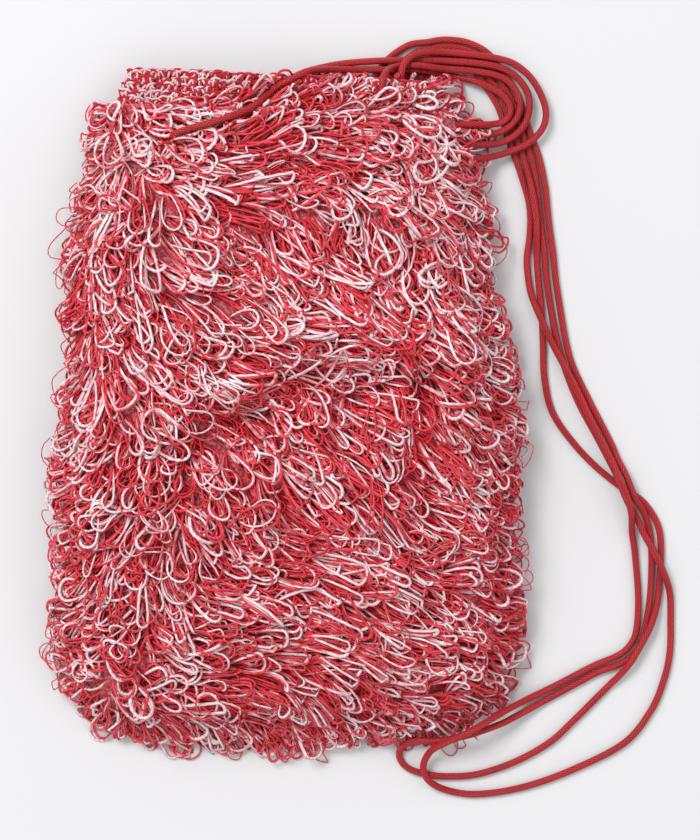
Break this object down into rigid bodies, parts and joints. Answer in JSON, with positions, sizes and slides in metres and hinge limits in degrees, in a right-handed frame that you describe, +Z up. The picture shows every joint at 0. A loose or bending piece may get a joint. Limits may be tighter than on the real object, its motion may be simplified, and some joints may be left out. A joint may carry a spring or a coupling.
{
  "type": "crocheted drawstring bag with long loop pile",
  "caption": "Soft crocheted pouch with shaggy yarn loops all over, a plain rim round its open mouth and a long round cord to close and carry it.",
  "frame": {"origin": "middle of the bag's underside, where it lies on the surface, without the free cord", "axes": "+X to the bag's right seen from its front, +Y from the closed bottom to the mouth, +Z up out of the bag's front"},
  "size_m": [0.3169, 0.3855, 0.078],
  "materials": {
    "pile_yarn": "soft matt twisted yarn in red and pale pinkish white",
    "rim_yarn": "matt single crochet in marled red and white yarn",
    "cord_braid": "smooth satin round braid"
  },
  "bodies": {
    "root": {"pouch": "pile_yarn", "rim_band": "rim_yarn", "pile_left": "pile_yarn", "pile_right": "pile_yarn", "pile_bottom": "pile_yarn", "pile_top": "pile_yarn", "strap_outer": "cord_braid", "strap_inner": "cord_braid", "loop_a": "cord_braid", "loop_b": "cord_braid", "loop_c": "cord_braid", "loop_d": "cord_braid"}
  },
  "joints": []
}
